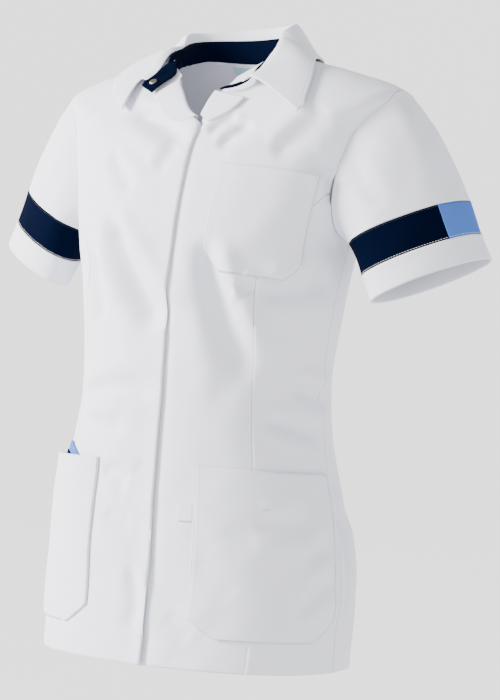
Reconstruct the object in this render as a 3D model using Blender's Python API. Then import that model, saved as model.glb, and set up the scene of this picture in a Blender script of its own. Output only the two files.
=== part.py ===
"""Short-sleeved medical tunic in its worn form, hollow, as separate sewn pieces.

Metres, +Z up.  The front looks along -Y and the wearer's left is +X.  The origin lies midway
between the two points where the shoulder seams meet the neck seam.  Every piece of cloth is a
closed wall grown to both sides of one middle surface, so pieces that meet share its normals.
"""
import math

import bmesh
import bpy
import numpy as np

# Cloth and seams
CLOTH = 0.0016          # wall of single cloth
DOUBLE = 0.0022         # wall of cloth with a turned facing
SEAM_INSET = 0.0002     # each piece stops this far before a seam
ARMHOLE_INSET = 0.0004  # and each sleeve this far before its armhole
SKIRT_ROWS = 21         # rows from the hem to the underarm
YOKE_ROWS = 8           # rows from the shoulder tip to the neck
FRONT_COLUMNS = 8       # cells across each panel
SIDE_COLUMNS = 4
BACK_COLUMNS = 16
LAID_ON = 0.0005        # space under a piece sewn on a panel
UNDERLAP = 0.0026       # depth of the left front below the right front
UNDERLAP_REACH = 0.9    # how far it runs past the centre, as a share of the placket's angle
STEP_FROM = 0.7         # the left front rises to the surface between these angles past the edge
STEP_TO = 3.2
EDGE_STEP = 0.1         # angle between the two fronts' edges just below the break

# Levels are the heights of the garment's side line
HEM = -0.690
UNDERARM = -0.212
TIP = -0.041            # shoulder tip
NECK = 0.0

# Torso sections: half width, depth in front of and behind the centre, the centre's own place,
# and how far the ring's front and back dip below its side line
# columns: level, half, front, back, centre, front_dip, back_dip
SECTIONS = (
    (-0.690, 0.1800, 0.1385, 0.1520, 0.000, 0.000, 0.000),
    (-0.610, 0.1820, 0.1325, 0.1400, 0.000, 0.000, 0.000),
    (-0.540, 0.1760, 0.1320, 0.1200, 0.000, 0.000, 0.000),
    (-0.470, 0.1600, 0.1315, 0.1010, 0.000, 0.000, 0.000),
    (-0.400, 0.1480, 0.1290, 0.0890, 0.000, 0.000, 0.000),
    (-0.330, 0.1490, 0.1270, 0.0970, 0.000, 0.000, 0.000),
    (-0.270, 0.1580, 0.1275, 0.1060, 0.000, 0.000, 0.000),
    (-0.212, 0.1690, 0.1240, 0.1130, 0.000, 0.000, 0.000),
    (-0.130, 0.1860, 0.1150, 0.1070, 0.008, 0.012, 0.004),
    (-0.080, 0.2000, 0.1130, 0.0960, 0.018, 0.030, 0.012),
    (-0.041, 0.2110, 0.1080, 0.0790, 0.028, 0.049, 0.026),
    (-0.020, 0.1480, 0.0850, 0.0740, 0.020, 0.044, 0.018),
    (0.000, 0.0720, 0.0560, 0.0630, 0.012, 0.041, 0.004),
)
SQUARENESS = 2.25       # 2 is an ellipse, more is squarer

# Largest folds of the torso: a trough (or ridge, if depth is negative) between two places
# columns: phi_a, level_a, phi_b, level_b, width, depth
FOLDS = (
    (-48.0, -0.215, -22.0, -0.330, 0.014, 0.0045),
    (14.0, -0.225, 34.0, -0.400, 0.013, 0.0035),
    (30.0, -0.275, 80.0, -0.300, 0.013, 0.0040),
    (-66.0, -0.395, -30.0, -0.430, 0.014, 0.0040),
    (50.0, -0.398, 84.0, -0.410, 0.014, 0.0030),
    (120.0, -0.380, 170.0, -0.420, 0.018, 0.0040),
    (-120.0, -0.385, -160.0, -0.430, 0.018, 0.0040),
    (130.0, -0.230, 158.0, -0.330, 0.015, 0.0035),
    (-128.0, -0.235, -155.0, -0.340, 0.015, 0.0035),
)

# Armhole: how far it swings forward and back of the side line, in degrees
ARMHOLE_FRONT = 23.0
ARMHOLE_BACK = 25.0
ARMHOLE_ROUND = 2.6
ARMHOLE_LOW = 1.15      # over 1 puts the armhole's widest place above its middle

# Front edges
PLACKET = 0.0175        # the right front's edge lies this far past the centre line
BREAK = -0.0410         # level at which the fronts part and turn out
UNDERLAP_TOP = -0.0422  # level of the top of the part that runs under the right front

# Roll lines: where each front turns out, from the break to the neck seam, and the lapel's edge
# columns: level, phi
ROLLS = {
    -1: ((-0.0410, 3.9), (-0.0310, -0.5), (-0.0220, -4.2), (-0.0120, -11.0), (-0.0060, -20.0),
         (0.0000, -31.0)),
    1: ((-0.0410, 3.9), (-0.0340, 3.7), (-0.0260, 4.8), (-0.0180, 6.4), (-0.0110, 9.2),
        (-0.0060, 15.0), (0.0000, 27.0)),
}
# columns: share, roll_level, edge_phi, edge_level
LAPELS = {
    -1: ((0.00, -0.0352, -1.0, -0.0405), (0.30, -0.0290, -6.5, -0.0365),
         (0.60, -0.0190, -11.7, -0.0290), (0.85, -0.0095, -17.0, -0.0225),
         (1.00, -0.0050, -21.5, -0.0200)),
    1: ((0.00, -0.0352, 5.5, -0.0405), (0.35, -0.0300, 9.5, -0.0350),
        (0.70, -0.0190, 15.0, -0.0285), (1.00, -0.0118, 21.0, -0.0215)),
}
SIDE_NAMES = {-1: "right", 1: "left"}

# Princess seam: angle from the centre front at each level
# columns: level, phi
PRINCESS = (
    (-0.690, 43.5),
    (-0.600, 44.0),
    (-0.470, 46.0),
    (-0.340, 45.5),
    (-0.285, 42.5),
    (-0.250, 41.5),
    (-0.215, 47.0),
    (-0.190, 56.0),
    (-0.162, 66.0),
)
ARM_STEPS = 11          # rows between the underarm and the shoulder tip
PRINCESS_ROW = 4        # the row, counted up from the underarm, where the princess seam ends
NOTCH = 0.0002          # half the step in level where the front's edge leaves that seam
SIDE_SHORT = 0.0012     # how far below that row the side front ends
ROW_MATCH = 0.0014      # rows this near in level share the armhole's directions

# Sleeves
CUFF_CENTRE = {-1: (-0.253, 0.002, -0.247), 1: (0.272, 0.004, -0.252)}
SLEEVE_AXIS = (0.45, 0.0, -0.893)
CUFF_LONG = 0.070
CUFF_SHORT = 0.036
CUFF_TURN = 214.0       # degrees from the underarm, forwards, to the long axis' outer end
CUFF_HEM = 0.030        # white hem under the band
BAND = 0.040            # height of the coloured band
BLUE_FROM = 147.0       # the light blue piece runs from here round the back
BLUE_TO = 325.0         # to here, short of the underarm
SLEEVE_RINGS = 9
LEAVE_UNDERARM = (0.93, -0.32)  # outward and upward parts of a sleeve line's start, below
LEAVE_TIP = {-1: (0.60, -0.76), 1: (0.72, -0.66)}  # and at the right and left shoulder tips
LEAVE_SWING = -0.22             # its forward or backward part, halfway up

# Neck: the stand's seam, its top, and the leaf's outer edge, from the right end to the left end.
# seam and edge are places on the torso lifted off it; the top is a place in the garment's frame
# columns: seam_phi, seam_level, seam_lift, top_x, top_y, top_z, edge_phi, edge_level, edge_lift
COLLAR = (
    (-22.0, -0.0195, 0.0080, -0.0800, -0.0600, -0.0430, -18.0, -0.0420, 0.0080),
    (-25.5, -0.0110, 0.0075, -0.0740, -0.0510, -0.0355, -28.0, -0.0345, 0.0070),
    (-31.0, -0.0030, 0.0055, -0.0700, -0.0370, -0.0245, -50.0, -0.0245, 0.0050),
    (-46.0, 0.0000, 0.0026, -0.0710, -0.0180, -0.0110, -76.0, -0.0165, 0.0040),
    (-72.0, 0.0000, 0.0018, -0.0740, 0.0060, 0.0040, -92.0, -0.0130, 0.0040),
    (-104.0, 0.0000, 0.0016, -0.0775, 0.0340, 0.0160, -110.0, -0.0140, 0.0040),
    (-134.0, 0.0000, 0.0016, -0.0690, 0.0610, 0.0220, -134.0, -0.0185, 0.0045),
    (-158.0, 0.0000, 0.0016, -0.0400, 0.0770, 0.0240, -157.0, -0.0240, 0.0050),
    (180.0, 0.0000, 0.0016, -0.0030, 0.0810, 0.0255, 180.0, -0.0260, 0.0050),
    (158.0, 0.0000, 0.0016, 0.0340, 0.0730, 0.0270, 157.0, -0.0190, 0.0050),
    (133.0, 0.0000, 0.0016, 0.0540, 0.0520, 0.0240, 132.0, -0.0100, 0.0045),
    (104.0, 0.0000, 0.0016, 0.0620, 0.0260, 0.0150, 106.0, -0.0085, 0.0040),
    (72.0, 0.0000, 0.0018, 0.0650, -0.0010, 0.0040, 85.0, -0.0095, 0.0040),
    (44.0, -0.0020, 0.0030, 0.0660, -0.0280, -0.0140, 64.0, -0.0165, 0.0040),
    (29.0, -0.0095, 0.0060, 0.0635, -0.0480, -0.0310, 44.0, -0.0310, 0.0055),
    (19.0, -0.0130, 0.0075, 0.0520, -0.0610, -0.0420, 34.0, -0.0490, 0.0080),
    (11.0, -0.0125, 0.0080, 0.0370, -0.0655, -0.0465, 30.0, -0.0560, 0.0080),
)
STAND_CLEAR = 0.0055    # least height of the stand's top above the torso's middle surface
COLLAR_CLEAR = 0.0045   # least height of the leaf above the torso's middle surface
LEAF_SHORT = (2, 3)     # stations by which the leaf stops short of the right and left ends
STUD_STATION = 2        # station of the stud, counted from the right end
STUD_HEIGHT = 0.52      # share of the stand's height
STUD_RADIUS = 0.0047
STUD_THICK = 0.0014
RISE_FRONT = 0.0095     # how far the leaf climbs past the stand before it falls
RISE_BACK = 0.0140
FOLD_UP = 0.030         # strength of the fold's upward and outward bend
FOLD_OUT = 0.012
LEAF_PRESS = 0.30       # how steeply the leaf's edge comes down on the shoulders
LEAF_BOW = 0.9          # how straight the leaf falls towards its edge
STAND_WALL = 0.0016
STAND_GAP = 0.0005
LEAF_WALL = 0.0016
COLLAR_STATIONS = 43

# Turned-out tops of the fronts
LAPEL_WALL = 0.0018
LAPEL_ROLL = 0.0022     # radius of the turn
LAPEL_GAP = 0.0008      # space between the front's edge and the lapel's turn
LAPEL_SETTLE = 0.0012   # how much nearer the front the lapel's edge lies

# Pockets: angles of the inner and outer edges and levels of the corners, and the cut corners
POCKET_WALL = 0.0016
CHEST_POCKET = {
    "inner": (17.0, 16.3), "outer": (61.8, 58.7), "bottom": (-0.2540, -0.2630),
    "top": (-0.1230, -0.1420), "cut_across": 0.017, "cut_up": 0.019,
}
HIP_POCKET = {
    "inner": (18.5, 20.3), "outer": (86.0, 87.5), "bottom": (-0.6550, -0.6550),
    "top": (-0.4675, -0.4715), "cut_across": 0.030, "cut_up": 0.023,
}
POCKET_GAPE = 0.011     # how far the right hip pocket's mouth stands off

# Facing that shows in the right hip pocket's mouth: angle and the levels of its two edges
FACING_WALL = 0.0010
# columns: phi, low, high
FACINGS = {
    "pocket_facing_blue": {"lift": 0.0022, "rows": (
        (34.0, -0.4950, -0.4700), (40.0, -0.4950, -0.4640), (47.0, -0.4950, -0.4560),
        (53.0, -0.4950, -0.4530), (59.0, -0.4950, -0.4590), (65.0, -0.4950, -0.4680))},
    "pocket_facing_navy": {"lift": 0.0036, "rows": (
        (46.0, -0.4900, -0.4690), (54.0, -0.4900, -0.4650), (60.0, -0.4900, -0.4640),
        (66.0, -0.4900, -0.4700))},
}

# Labels, both blank
LABEL_WALL = 0.0008
NECK_LABEL_TOP = -0.0008
NECK_LABEL_LOW = -0.0160
NECK_LABEL_HALF = 0.036
TAB_LOW = -0.5290
TAB_HIGH = -0.5110
TAB_REACH = 6.0         # degrees that the tab sticks out past the pocket
TAB_GAP = 0.15          # degrees between the tab and the pocket's edge
COLOURS = {
    "white_cloth": (0.80, 0.81, 0.86),
    "navy_cloth": (0.008, 0.014, 0.058),
    "light_blue_cloth": (0.16, 0.32, 0.62),
    "label_cloth": (0.66, 0.86, 0.88),
    "stud_metal": (0.62, 0.60, 0.55),
}


def clear_scene():
    """Removes whatever the scene starts with."""
    for item in list(bpy.data.objects):
        bpy.data.objects.remove(item, do_unlink=True)


def material(name):
    """One finish, made once and shared by its pieces."""
    if name in bpy.data.materials:
        return bpy.data.materials[name]
    made = bpy.data.materials.new(name)
    made.use_nodes = True
    shader = made.node_tree.nodes["Principled BSDF"]
    shader.inputs["Base Color"].default_value = (*COLOURS[name], 1.0)
    shader.inputs["Roughness"].default_value = 0.30 if name == "stud_metal" else 0.85
    shader.inputs["Metallic"].default_value = 1.0 if name == "stud_metal" else 0.0
    return made


def unit(vectors):
    """Vectors of length one."""
    length = np.linalg.norm(vectors, axis=-1, keepdims=True)
    return vectors / np.maximum(length, 1e-12)


def read_table(rows, at):
    """Every column of a table at one value of its first column, on a smooth curve."""
    table = np.array(rows, float)
    keys, values = table[:, 0], table[:, 1:]
    slopes = np.gradient(values, keys, axis=0)
    at = min(max(at, keys[0]), keys[-1])
    i = min(int(np.searchsorted(keys, at, side="right")) - 1, len(keys) - 2)
    i = max(i, 0)
    span = keys[i + 1] - keys[i]
    t = (at - keys[i]) / span
    return (
        (2 * t**3 - 3 * t**2 + 1) * values[i]
        + (t**3 - 2 * t**2 + t) * span * slopes[i]
        + (3 * t**2 - 2 * t**3) * values[i + 1]
        + (t**3 - t**2) * span * slopes[i + 1]
    )


def smooth(value, low, high):
    """A soft step from 0 at low to 1 at high."""
    t = min(max((value - low) / (high - low), 0.0), 1.0)
    return t * t * (3 - 2 * t)


def fold_depth(phi, level, half):
    """How far the folds push the torso inwards at one place."""
    depth = 0.0
    for phi_a, level_a, phi_b, level_b, width, full in FOLDS:
        scale = math.radians(1.0) * half
        a = np.array((phi_a * scale, level_a))
        b = np.array((phi_b * scale, level_b))
        here = np.array((phi * scale, level))
        along = b - a
        t = float(np.dot(here - a, along) / np.dot(along, along))
        t_on = min(max(t, 0.0), 1.0)
        distance = float(np.linalg.norm(here - a - t_on * along))
        fade = math.sin(math.pi * min(max(0.08 + 0.84 * t_on, 0.0), 1.0)) ** 0.7
        depth += full * fade * math.exp(-((distance / width) ** 2))
    return depth


def torso(phi, level):
    """A place on the torso's middle surface: phi in degrees from the centre front, + to the left."""
    half, front, back, centre, front_dip, back_dip = read_table(SECTIONS, level)
    angle = math.radians(phi)
    sine, cosine = math.sin(angle), math.cos(angle)
    push = fold_depth(phi, level, half)
    across = math.copysign(abs(sine) ** (2 / SQUARENESS), sine)
    along = math.copysign(abs(cosine) ** (2 / SQUARENESS), cosine)
    ahead = cosine > 0
    reach = (front if ahead else back) - push
    dip = (front_dip if ahead else back_dip) * cosine * cosine
    return np.array(((half - push) * across, centre - reach * along, level - dip))


def torso_normal(phi, level):
    """The torso's outward direction."""
    step_phi, step_level = 1.0, 0.0015
    low = max(level - step_level, HEM)
    high = min(level + step_level, NECK)
    around = torso(phi + step_phi, level) - torso(phi - step_phi, level)
    upward = torso(phi, high) - torso(phi, low)
    return unit(np.cross(around, upward))


def on_torso(phi, level, lift=0.0):
    """A place moved out from the torso along its normal."""
    return torso(phi, level) + lift * torso_normal(phi, level)


def add_piece(name, vertices, faces, finish):
    """One closed piece from its points and faces."""
    mesh = bpy.data.meshes.new(name)
    mesh.from_pydata([tuple(map(float, v)) for v in vertices], [], faces)
    shape = bmesh.new()
    shape.from_mesh(mesh)
    bmesh.ops.recalc_face_normals(shape, faces=shape.faces)
    if shape.calc_volume(signed=True) < 0:
        bmesh.ops.reverse_faces(shape, faces=shape.faces)
    bmesh.ops.triangulate(shape, faces=shape.faces)
    shape.to_mesh(mesh)
    shape.free()
    mesh.shade_smooth()
    mesh.set_sharp_from_angle(angle=math.radians(50))
    mesh.materials.append(material(finish))
    piece = bpy.data.objects.new(name, mesh)
    bpy.context.scene.collection.objects.link(piece)
    return piece


def wall(name, middle, normals, finish, thickness=CLOTH, inner=None, closed=False):
    """A wall grown from a grid of places: outwards by half its thickness and inwards by the rest."""
    middle, normals = np.asarray(middle), np.asarray(normals)
    rows, columns = middle.shape[:2]
    outward = thickness / 2 if inner is None else thickness - inner
    inward = thickness / 2 if inner is None else inner
    skins = np.concatenate((middle + outward * normals, middle - inward * normals))
    vertices = skins.reshape(-1, 3)

    def index(skin, row, column):
        return (skin * rows + row) * columns + column % columns

    faces = []
    last = columns if closed else columns - 1
    for row in range(rows - 1):
        for column in range(last):
            ring = ((row, column), (row, column + 1), (row + 1, column + 1), (row + 1, column))
            faces.append([index(0, r, c) for r, c in ring])
            faces.append([index(1, r, c) for r, c in reversed(ring)])
    for column in range(last):
        for row in (0, rows - 1):
            faces.append([index(0, row, column), index(0, row, column + 1),
                          index(1, row, column + 1), index(1, row, column)])
    if not closed:
        for row in range(rows - 1):
            for column in (0, columns - 1):
                faces.append([index(0, row, column), index(0, row + 1, column),
                              index(1, row + 1, column), index(1, row, column)])
    return add_piece(name, vertices, faces, finish)


def inset(grid, sides, amount=SEAM_INSET):
    """Draws the named edges of a grid back from their seams."""
    grid = grid.copy()
    if "first" in sides:
        grid[:, 0] += amount * unit(grid[:, 1] - grid[:, 0])
    if "last" in sides:
        grid[:, -1] += amount * unit(grid[:, -2] - grid[:, -1])
    if "bottom" in sides:
        grid[0] += amount * unit(grid[1] - grid[0])
    if "top" in sides:
        grid[-1] += amount * unit(grid[-2] - grid[-1])
    return grid


def armhole_phi(level, swing):
    """The armhole's angle from the centre front or back at one level."""
    height = min(max((level - UNDERARM) / (TIP - UNDERARM), 0.0), 1.0)
    share = abs(2 * height**ARMHOLE_LOW - 1)
    return 90.0 - swing * (1 - share**ARMHOLE_ROUND) ** (1 / ARMHOLE_ROUND)


def levels():
    """The rows that every torso panel shares, from the hem to the neck seam."""
    skirt = [float(v) for v in np.linspace(HEM, UNDERARM, SKIRT_ROWS)]
    arm = [UNDERARM + (TIP - UNDERARM) * (1 - math.cos(math.pi * k / ARM_STEPS)) / 2
           for k in range(1, ARM_STEPS + 1)]
    yoke = [float(v) for v in np.linspace(TIP, NECK, YOKE_ROWS + 1)[1:]]
    return skirt + arm + yoke


def arm_levels():
    """The rows between the underarm and the shoulder tip."""
    return [v for v in levels() if UNDERARM - 1e-6 <= v <= TIP + 1e-6]


def princess_phi(level):
    """The princess seam's angle at one level."""
    return float(read_table(PRINCESS, level)[0])


def armhole_loop(side):
    """Places on the armhole: from the underarm up the front, over the tip and down the back."""
    rows = arm_levels()
    loop = [(side * armhole_phi(v, ARMHOLE_FRONT), v) for v in rows]
    loop += [(side * (180.0 - armhole_phi(v, ARMHOLE_BACK)), v) for v in reversed(rows[1:-1])]
    return loop


class Sleeve:
    """The sleeve's middle surface, from the armhole down to its hem."""

    def __init__(self, side):
        self.side = side
        self.loop = armhole_loop(side)
        flip = np.array((side, 1.0, 1.0))
        self.axis = np.array(SLEEVE_AXIS) * flip
        self.centre = np.array(CUFF_CENTRE[side])
        outward = np.array((-SLEEVE_AXIS[2], 0.0, SLEEVE_AXIS[0])) * flip
        forward = np.array((0.0, -1.0, 0.0))
        count = len(self.loop)
        tip = len(arm_levels()) - 1
        self.turns = [180.0 * k / tip if k <= tip else 180.0 + 180.0 * (k - tip) / (count - tip)
                      for k in range(count)]
        spin = math.radians(CUFF_TURN)
        long_axis = -math.cos(spin) * outward + math.sin(spin) * forward
        short_axis = math.sin(spin) * outward + math.cos(spin) * forward
        self.curves = []
        for turn, (phi, level) in zip(self.turns, self.loop):
            beta = math.radians(turn - CUFF_TURN)
            end = (self.centre + CUFF_LONG * math.cos(beta) * long_axis
                   + CUFF_SHORT * math.sin(beta) * short_axis)
            start = torso(phi, level)
            top = (1 - math.cos(math.radians(turn))) / 2
            bulge = math.sin(math.radians(turn))
            away, down = (low + (high - low) * top
                          for low, high in zip(LEAVE_UNDERARM, LEAVE_TIP[self.side]))
            leave = np.array((self.side * away, LEAVE_SWING * bulge, down))
            reach = np.linalg.norm(end - start)
            self.curves.append(self.curve(start, unit(leave) * reach, end, self.axis * reach))

    @staticmethod
    def curve(start, leave, end, arrive):
        """A lengthwise line of the sleeve and the length from each of its points to the hem."""
        t = np.linspace(0, 1, 81)[:, None]
        line = ((2 * t**3 - 3 * t**2 + 1) * start + (t**3 - 2 * t**2 + t) * leave
                + (3 * t**2 - 2 * t**3) * end + (t**3 - t**2) * arrive)
        steps = np.linalg.norm(np.diff(line, axis=0), axis=1)
        from_end = np.concatenate((np.cumsum(steps[::-1])[::-1], (0.0,)))
        return line, from_end

    def at(self, k, distance):
        """The place on line k that lies this far above the sleeve's hem."""
        line, from_end = self.curves[k % len(self.curves)]
        order = from_end[::-1]
        return np.array([np.interp(distance, order, line[::-1, axis]) for axis in range(3)])

    def length(self, k):
        """The full length of line k."""
        return float(self.curves[k % len(self.curves)][1][0])

    def grid(self, low, high, rings, picked=None):
        """Rings from one distance above the hem to another; high of None is the armhole."""
        picked = range(len(self.curves)) if picked is None else picked
        places = np.zeros((rings, len(picked), 3))
        for column, k in enumerate(picked):
            top = self.length(k) if high is None else high
            for ring in range(rings):
                places[ring, column] = self.at(k, low + (top - low) * ring / (rings - 1))
        return places

    def normals(self, low, high, rings, picked=None):
        """Outward directions at the places of grid()."""
        picked = range(len(self.curves)) if picked is None else picked
        result = np.zeros((rings, len(picked), 3))
        for column, k in enumerate(picked):
            top = self.length(k) if high is None else high
            for ring in range(rings):
                distance = low + (top - low) * ring / (rings - 1)
                share = distance / self.length(k)
                before = self.at(k - 1, share * self.length(k - 1))
                after = self.at(k + 1, share * self.length(k + 1))
                upper = self.at(k, min(distance + 0.003, self.length(k)))
                lower = self.at(k, max(distance - 0.003, 0.0))
                result[ring, column] = self.side * np.cross(after - before, upper - lower)
        return unit(result)

    def seam_normals(self):
        """The mitred directions that the sleeve and the torso share along the armhole."""
        own = self.normals(0.0, None, SLEEVE_RINGS)[-1]
        body = np.array([torso_normal(phi, level) for phi, level in self.loop])
        mitre = unit(own + body)
        lean = np.sum(mitre * body, axis=1, keepdims=True)
        return mitre / np.maximum(lean, 0.6)


def panel(name, rows, spread, seams, sink=None):
    """A torso panel; spread gives the angles of one level's places, from edge to edge.

    seams holds the armhole's shared directions, from (column edge, level) to the direction, and
    sink is how deep a place lies below the torso's surface.
    """
    middle, normals = [], []
    for level in rows:
        phis = spread(level)
        out = np.array([torso_normal(phi, level) for phi in phis])
        here = np.array([torso(phi, level) for phi in phis])
        if sink is not None:
            here -= np.array([[sink(phi, level)] for phi in phis]) * out
        middle.append(here)
        normals.append(out)
    middle, normals = inset(np.array(middle), ("first", "last")), np.array(normals)
    for (edge, level), direction in seams.items():
        for i, row in enumerate(rows):
            if abs(row - level) < ROW_MATCH:
                normals[i, 0 if edge == "first" else -1] = direction
    return wall(name, middle, normals, "white_cloth")


def seam_map(sleeve, edge, front):
    """The armhole's directions for one panel edge, by level."""
    rows = arm_levels()
    shared = sleeve.seam_normals()
    found = {}
    for k, level in enumerate(rows):
        at = k if front else (-k) % len(sleeve.loop)
        found[(edge, level)] = shared[at]
    return found


def placket_phi(level):
    """The angle of the right front's edge below the break."""
    half = read_table(SECTIONS, level)[0]
    return math.degrees(math.asin((PLACKET / half) ** (SQUARENESS / 2)))


def roll_phi(side, level):
    """The signed angle of a front's edge: the placket below the break, the roll line above it."""
    if level > BREAK:
        return float(read_table(ROLLS[side], level)[0])
    if side == -1:
        return placket_phi(level)
    if level <= UNDERLAP_TOP:
        return -UNDERLAP_REACH * placket_phi(level)
    return placket_phi(level) + EDGE_STEP


def underlap_sink(phi, level):
    """How deep the left front runs below the right one near the centre."""
    if level > BREAK:
        return 0.0
    placket = placket_phi(level)
    return UNDERLAP * (1 - smooth(phi, placket + STEP_FROM, placket + STEP_TO))


def make_fronts(sleeves):
    """The two fronts, from the placket to the princess seams and armholes."""
    top = arm_levels()[PRINCESS_ROW]
    low = [v for v in levels() if v < top - 1e-6]
    high = [v for v in levels() if v > top + 1e-6]
    for side in (-1, 1):
        seams = seam_map(sleeves[side], "last", True)
        seams = {key: value for key, value in seams.items() if key[1] > top - 1e-6}
        rows = low + [top - NOTCH, top + NOTCH] + high
        if side == 1:
            rows = sorted(rows + [UNDERLAP_TOP])

        def spread(level, side=side):
            if level < top:
                outer = side * princess_phi(level)
            elif level <= TIP:
                outer = side * armhole_phi(top if level < top + SIDE_SHORT else level,
                                           ARMHOLE_FRONT)
            else:
                outer = side * 90.0
            inner = roll_phi(side, level)
            if side == -1:
                return [inner + (outer - inner) * j / FRONT_COLUMNS
                        for j in range(FRONT_COLUMNS + 1)]
            edge = placket_phi(level) if level <= UNDERLAP_TOP else inner
            first = [inner, edge + STEP_FROM, edge + STEP_TO]
            rest = FRONT_COLUMNS - 1
            return first + [first[-1] + (outer - first[-1]) * j / rest for j in range(1, rest + 1)]

        panel(f"front_{SIDE_NAMES[side]}", rows, spread, seams,
              sink=underlap_sink if side == 1 else None)


def make_side_fronts(sleeves):
    """The panels between the princess seams and the side seams."""
    top = arm_levels()[PRINCESS_ROW]
    rows = [v for v in levels() if v < top - 1e-6] + [top - SIDE_SHORT]
    for side in (-1, 1):
        seams = seam_map(sleeves[side], "last", True)

        def spread(level, side=side):
            outer = 90.0 if level <= UNDERARM else armhole_phi(level, ARMHOLE_FRONT)
            inner = princess_phi(level)
            return [side * (inner + (outer - inner) * j / SIDE_COLUMNS)
                    for j in range(SIDE_COLUMNS + 1)]

        panel(f"side_front_{SIDE_NAMES[side]}", rows, spread, seams)


def make_back(sleeves):
    """The back, from side seam to side seam."""
    def spread(level):
        edge = 90.0
        if UNDERARM < level < TIP:
            edge = armhole_phi(level, ARMHOLE_BACK)
        return [180.0 + edge * (2 * j / BACK_COLUMNS - 1) for j in range(BACK_COLUMNS + 1)]

    seams = seam_map(sleeves[1], "first", False)
    seams.update(seam_map(sleeves[-1], "last", False))
    panel("back", levels(), spread, seams)


def make_sleeves(sleeves):
    """Sleeve, coloured band in two pieces, and hem on each arm."""
    for side, sleeve in sleeves.items():
        where = SIDE_NAMES[side]
        gap = SEAM_INSET
        base = CUFF_HEM + BAND
        middle = sleeve.grid(base + gap, None, SLEEVE_RINGS)
        normals = sleeve.normals(base + gap, None, SLEEVE_RINGS)
        normals[-1] = sleeve.seam_normals()
        middle[-1] += ARMHOLE_INSET * unit(middle[-2] - middle[-1])
        wall(f"sleeve_{where}", middle, normals, "white_cloth", closed=True)
        wall(f"cuff_{where}", sleeve.grid(0.0, CUFF_HEM - gap, 3),
             sleeve.normals(0.0, CUFF_HEM - gap, 3), "white_cloth", DOUBLE, closed=True)
        blue = [k for k, turn in enumerate(sleeve.turns) if BLUE_FROM <= turn <= BLUE_TO]
        navy = [*range(blue[-1], len(sleeve.turns)), *range(blue[0] + 1)]
        for name, picked, finish in (("band_navy", navy, "navy_cloth"),
                                     ("band_blue", blue, "light_blue_cloth")):
            places = inset(sleeve.grid(CUFF_HEM + gap, base - gap, 3, picked), ("first", "last"))
            wall(f"{name}_{where}", places, sleeve.normals(CUFF_HEM + gap, base - gap, 3, picked),
                 finish)


def collar_stations():
    """The collar's seam, stand top and leaf edge at even stations."""
    table = np.array(COLLAR)
    phis = np.where(table[:, 0] < 0, table[:, 0], table[:, 0] - 360.0)
    edges = np.where(table[:, 6] < 0, table[:, 6], table[:, 6] - 360.0)
    table[:, 0], table[:, 6] = phis, edges
    rows = np.column_stack((np.arange(len(table), dtype=float), table))
    seam, top, edge, outward = [], [], [], []
    for t in np.linspace(0, len(table) - 1, COLLAR_STATIONS):
        row = read_table(rows, float(t))
        seam.append(on_torso(row[0], min(row[1], NECK), 0.0) + lift_from(row[0], row[1], row[2]))
        top.append(row[3:6])
        edge.append(on_torso(row[6], row[7], row[8]))
        outward.append(torso_normal(row[6], row[7]))
    return np.array(seam), np.array(top), np.array(edge), np.array(outward)


def lift_from(phi, level, lift):
    """A lift off the torso that is upright at the neck seam and square to it further out."""
    share = smooth(-level, 0.0, 0.006)
    direction = unit(share * torso_normal(phi, level) + (1 - share) * np.array((0.0, 0.0, 1.0)))
    return lift * direction


def keep_off(places, clear):
    """Lifts places that lie nearer the shoulders than clear, along the torso's normal."""
    samples = [(phi, level) for phi in range(0, 360, 4) for level in np.linspace(-0.075, NECK, 26)]
    skin = np.array([torso(*at) for at in samples])
    normals = np.array([torso_normal(*at) for at in samples])
    flat = places.reshape(-1, 3).copy()
    for _ in range(2):
        for i, here in enumerate(flat):
            near = int(np.argmin(np.sum((skin - here) ** 2, axis=1)))
            height = float(np.dot(here - skin[near], normals[near]))
            flat[i] = here + max(0.0, clear - height) * normals[near]
    return flat.reshape(places.shape)


def make_collar():
    """The navy stand, its stud, and the white leaf that falls over it."""
    seam, top, edge, outward = collar_stations()
    count = len(seam)
    top = keep_off(top, STAND_CLEAR)
    along = np.gradient((seam + top) / 2, axis=0)
    inside = unit(np.cross(along, top - seam))
    rows = 4
    stand = np.array([seam + (top - seam) * row / (rows - 1) for row in range(rows)])
    wall("stand", stand, np.broadcast_to(inside, stand.shape), "navy_cloth", STAND_WALL)
    add_stud(seam, top, inside)
    rise = unit(top - seam)
    start = top + STAND_GAP * rise
    climb, fall = 2, 9
    behind = np.sin(np.pi * np.arange(count) / (count - 1))[:, None] ** 2
    ridge = start + (RISE_FRONT + (RISE_BACK - RISE_FRONT) * behind) * rise
    leaf = [start + (ridge - start) * row / climb for row in range(climb)]
    reach = np.linalg.norm(edge - ridge, axis=1, keepdims=True)
    arrive = unit(edge - ridge) - LEAF_PRESS * outward
    for t in np.linspace(0, 1, fall):
        leaf.append((2 * t**3 - 3 * t**2 + 1) * ridge
                    + (t**3 - 2 * t**2 + t) * (FOLD_UP * rise - FOLD_OUT * inside)
                    + (3 * t**2 - 2 * t**3) * edge
                    + (t**3 - t**2) * arrive * reach * LEAF_BOW)
    leaf = np.array(leaf)[:, LEAF_SHORT[0]:-LEAF_SHORT[1]]
    leaf[climb + 1:] = keep_off(leaf[climb + 1:], COLLAR_CLEAR)
    leaf_normals = unit(np.cross(np.gradient(leaf, axis=0), np.gradient(leaf, axis=1)))
    leaf_normals[0] = -inside[LEAF_SHORT[0]:-LEAF_SHORT[1]]
    wall("collar", leaf, leaf_normals, "white_cloth", LEAF_WALL)


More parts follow.
